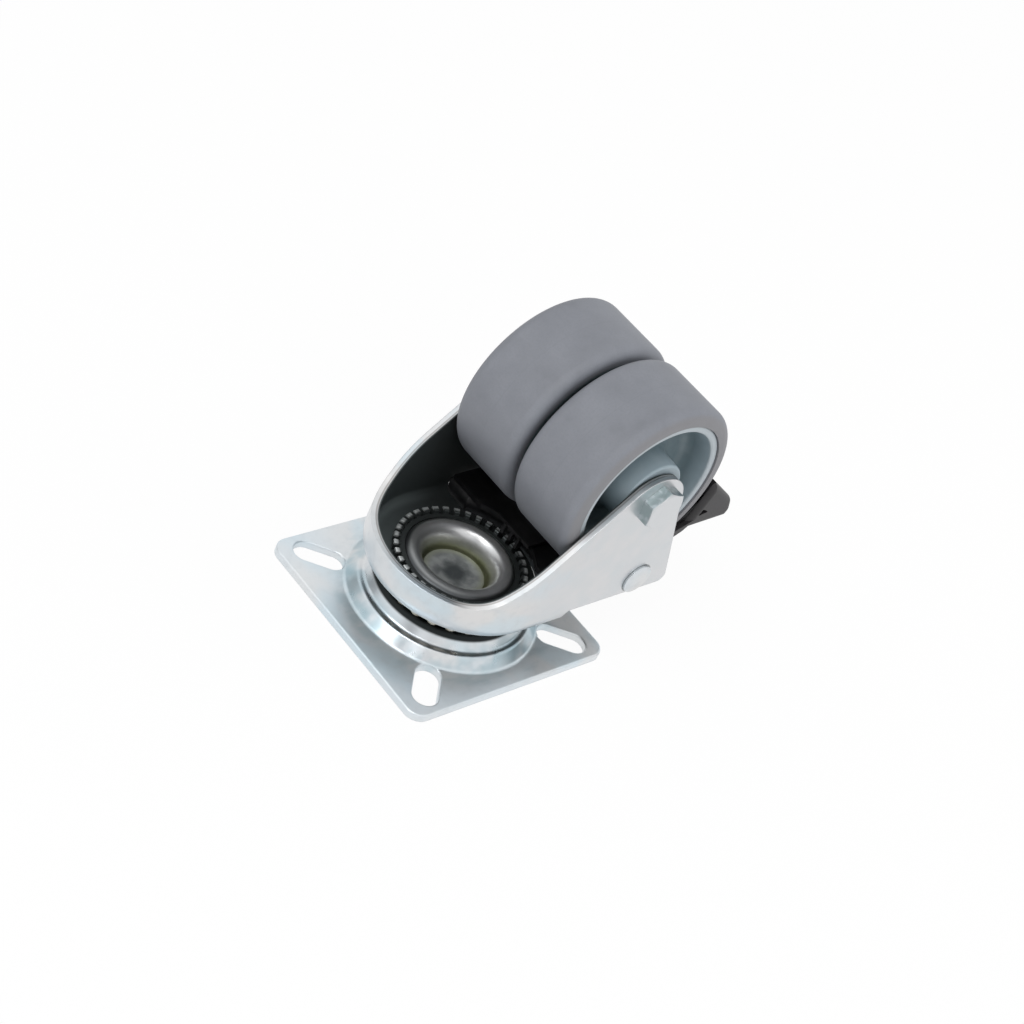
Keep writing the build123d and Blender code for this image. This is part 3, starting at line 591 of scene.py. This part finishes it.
class CastorBrake(bpy.types.Operator):
    """Pedal, lever and springs of the brake"""

    bl_idname = "castor.brake"
    bl_label = "Brake"

    def execute(self, context):
        settings = context.scene.castor
        dress("brake_pedal", self.plastic(settings))
        black = self.steel(settings)
        for node in ("brake_lever", "lock_spring", "lever_rivets", "detent_spring"):
            dress(node, black)
        lip = self.lip()
        lip.data.materials.append(black)
        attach(lip, "brake")
        return {"FINISHED"}

    def lip(self):
        """The lever's turned-down front lip, a dark sheet that also stands in for the shade seen behind the
        crown's rear edge.

        Its front follows the crown's rear edge at a small gap: x is the larger of a straight edge and
        the circle x = sqrt(reach^2 - y^2). Its section is a rectangle, which steps down under the
        detent spring.
        """
        half = LIP_HALF_WIDTH
        y = np.linspace(-half, half, 221)
        front = np.maximum(LIP_FRONT, np.sqrt(np.maximum(LIP_REACH**2 - y**2, 0.0)))
        top = np.where(np.abs(y) < SPRING_HALF_WIDTH, SPRING_UNDERSIDE, LEVER_UNDERSIDE + 0.1 * MM)
        bottom = np.full_like(y, LIP_BOTTOM)
        back = front + LIP_SHEET
        section = [(front, top), (front, bottom), (back, bottom), (back, top)]
        points = np.stack([np.stack([x, y, z], axis=-1) for x, z in section], axis=1)
        return surface_piece("lever_lip", points, closed_v=True, capped=True)

    def plastic(self, settings):
        """Black plastic with a fine spark-eroded grain, greyer where feet have rubbed it."""
        shader = Shader("pedal_plastic")
        rub = shader.noise(5 * MM, 4.0)
        grain = shader.noise(0.28 * MM, 2.0)
        colour = shader.mix(rub.ramp(0.35, 0.7), settings.pedal_colour[:], (0.024, 0.022, 0.025))
        normal = shader.bump(grain, 0.05 * MM, 0.6)
        return shader.finish(base_color=colour, roughness=0.42 + rub * 0.12, normal=normal)

    def steel(self, settings):
        """Near-black painted shade on the springs and lever, with faint mottling."""
        shader = Shader("brake_steel_shade")
        cloud = shader.noise(3 * MM, 3.0)
        colour = shader.mix(cloud.ramp(0.4, 0.8) * 0.5, settings.brake_steel_shade[:], (0.03, 0.03, 0.032))
        return shader.finish(base_color=colour, metallic=0.6, roughness=0.4 + cloud * 0.2)


class CastorStage(bpy.types.Operator):
    """White studio, soft lamps and the photograph's camera"""

    bl_idname = "castor.stage"
    bl_label = "Studio"

    # The photograph's view: angles in degrees, lengths in metres
    azimuth = -56.75
    elevation = 37.08
    roll = 26.62
    distance = 0.54232
    target = (0.01954, 0.00557, 0.0201)
    lens_mm = 78.02
    sensor_mm = 36.0

    # Dark cards that only the metal sees: azimuth and elevation in degrees, width and height in metres
    cards = {
        "card_front": (-76.0, 40.0, 0.22, 0.70),
        "card_side": (-44.0, 42.0, 0.06, 0.60),
        "card_left": (-150.0, 12.0, 0.45, 0.20),
        "card_right": (60.0, 10.0, 0.50, 0.20),
    }
    card_distance = 0.85

    def execute(self, context):
        self.camera(context)
        self.floor()
        self.world(context)
        self.lamp("key_lamp", (-0.72, -0.05, 1.05), 0.8, 5.6, glossy=True)
        self.lamp("fill_lamp", (0.9, -0.45, 0.55), 1.0, 3.0)
        self.lamp("front_lamp", (-0.35, -0.95, 0.8), 1.0, 3.5)
        for name, (azimuth, elevation, width, height) in self.cards.items():
            self.card(name, azimuth, elevation, width, height)
        return {"FINISHED"}

    def camera(self, context):
        across, up_angle, tilt = (math.radians(a) for a in (self.azimuth, self.elevation, self.roll))
        back = Vector(
            (
                math.sin(across) * math.cos(up_angle),
                -math.cos(across) * math.cos(up_angle),
                math.sin(up_angle),
            )
        )
        level_right = Vector((math.cos(across), math.sin(across), 0.0))
        level_up = back.cross(level_right)
        right = level_right * math.cos(tilt) + level_up * math.sin(tilt)
        up = level_up * math.cos(tilt) - level_right * math.sin(tilt)
        lens = bpy.data.cameras.new("camera")
        lens.sensor_width = self.sensor_mm
        lens.lens = self.lens_mm
        lens.clip_start = 0.01
        camera = bpy.data.objects.new("camera", lens)
        turn = Matrix((right, up, back)).transposed().to_4x4()
        camera.matrix_world = Matrix.Translation(Vector(self.target) + back * self.distance) @ turn
        context.scene.collection.objects.link(camera)
        context.scene.camera = camera

    def floor(self):
        """A square of floor, white to the eye but for the object's faint shadow."""
        size = 6.0
        edge = np.linspace(-size, size, 3)
        u, v = np.meshgrid(edge, edge, indexing="ij")
        floor = surface_piece("floor", np.stack([u, v, np.full_like(u, -0.0002)], axis=-1))
        shader = Shader("floor_white")
        shader.finish(base_color=(0.92, 0.92, 0.92), roughness=0.8)
        by_camera = shader.node("LightPath", output="Is Camera Ray")
        by_metal = shader.node("LightPath", output="Is Glossy Ray")
        seen = by_camera + by_metal
        glow = shader.node("Emission", inputs={"Color": (1.0, 1.0, 1.0), "Strength": 1.0})
        diffuse = Socket(shader, shader.surface.outputs[0])
        both = shader.node("MixShader", inputs={0: seen * 0.94, 1: diffuse, 2: glow})
        shader.feed(shader.tree.nodes["Material Output"].inputs["Surface"], both)
        floor.data.materials.append(shader.material)

    def world(self, context):
        """A white room: plain white to the camera and in reflections, softer as a light."""
        world = bpy.data.worlds.new("white_room")
        world.use_nodes = True
        tree = world.node_tree
        background = tree.nodes["Background"]
        background.inputs["Color"].default_value = (1.0, 1.0, 1.0, 1.0)
        path = tree.nodes.new("ShaderNodeLightPath")
        not_diffuse = tree.nodes.new("ShaderNodeMath")
        not_diffuse.operation = "SUBTRACT"
        not_diffuse.inputs[0].default_value = 1.0
        tree.links.new(path.outputs["Is Diffuse Ray"], not_diffuse.inputs[1])
        strength = tree.nodes.new("ShaderNodeMapRange")
        strength.inputs["To Min"].default_value = 0.55
        strength.inputs["To Max"].default_value = 1.0
        tree.links.new(not_diffuse.outputs[0], strength.inputs["Value"])
        tree.links.new(strength.outputs[0], background.inputs["Strength"])
        context.scene.world = world

    def lamp(self, name, place, size, power, glossy=False):
        light = bpy.data.lights.new(name, "AREA")
        light.shape = "DISK"
        light.size = size
        light.energy = power
        lamp = bpy.data.objects.new(name, light)
        lamp.matrix_world = self.aimed(Vector(place))
        lamp.visible_glossy = glossy
        bpy.context.scene.collection.objects.link(lamp)

    def aimed(self, place):
        """A turn and shift that puts a thing at a place, its -Z towards the castor."""
        aim = Vector(self.target) - place
        return Matrix.Translation(place) @ aim.to_track_quat("-Z", "Y").to_matrix().to_4x4()

    def card(self, name, azimuth, elevation, width, height):
        """A flat dark card facing the castor, seen only in reflections."""
        around, rise = math.radians(azimuth), math.radians(elevation)
        out = Vector(
            (math.sin(around) * math.cos(rise), -math.cos(around) * math.cos(rise), math.sin(rise))
        )
        place = self.aimed(Vector(self.target) + out * self.card_distance)
        u, v = np.meshgrid(np.linspace(-width / 2, width / 2, 2), np.linspace(-height / 2, height / 2, 2))
        corners = np.stack([u, v, np.zeros_like(u), np.ones_like(u)], axis=-1) @ np.array(place).T
        card = surface_piece(name, corners[..., :3])
        shader = Shader("card_black")
        shader.finish(base_color=(0.02, 0.02, 0.02), roughness=0.9)
        card.data.materials.append(shader.material)
        card.visible_camera = False
        card.visible_diffuse = False
        card.visible_shadow = False
        card.visible_transmission = False


class CastorPanel(bpy.types.Panel):
    """Buttons for the castor's pieces and its studio"""

    bl_idname = "VIEW3D_PT_castor"
    bl_label = "Castor"
    bl_space_type = "VIEW_3D"
    bl_region_type = "UI"
    bl_category = "Castor"

    def draw(self, context):
        for name in CastorSettings.__annotations__:
            self.layout.prop(context.scene.castor, name)
        for operator in OPERATORS:
            self.layout.operator(operator.bl_idname)


OPERATORS = [CastorPressings, CastorFasteners, CastorTyres, CastorHubs, CastorBrake, CastorStage]


def register():
    for made in (CastorSettings, *OPERATORS, CastorPanel):
        bpy.utils.register_class(made)
    bpy.types.Scene.castor = bpy.props.PointerProperty(type=CastorSettings)


def unregister():
    del bpy.types.Scene.castor
    for made in reversed((CastorSettings, *OPERATORS, CastorPanel)):
        bpy.utils.unregister_class(made)


def main():
    register()
    bpy.context.scene.view_settings.view_transform = "Standard"
    for operator in OPERATORS:
        group, name = operator.bl_idname.split(".")
        getattr(getattr(bpy.ops, group), name)()


if __name__ == "__main__":
    main()
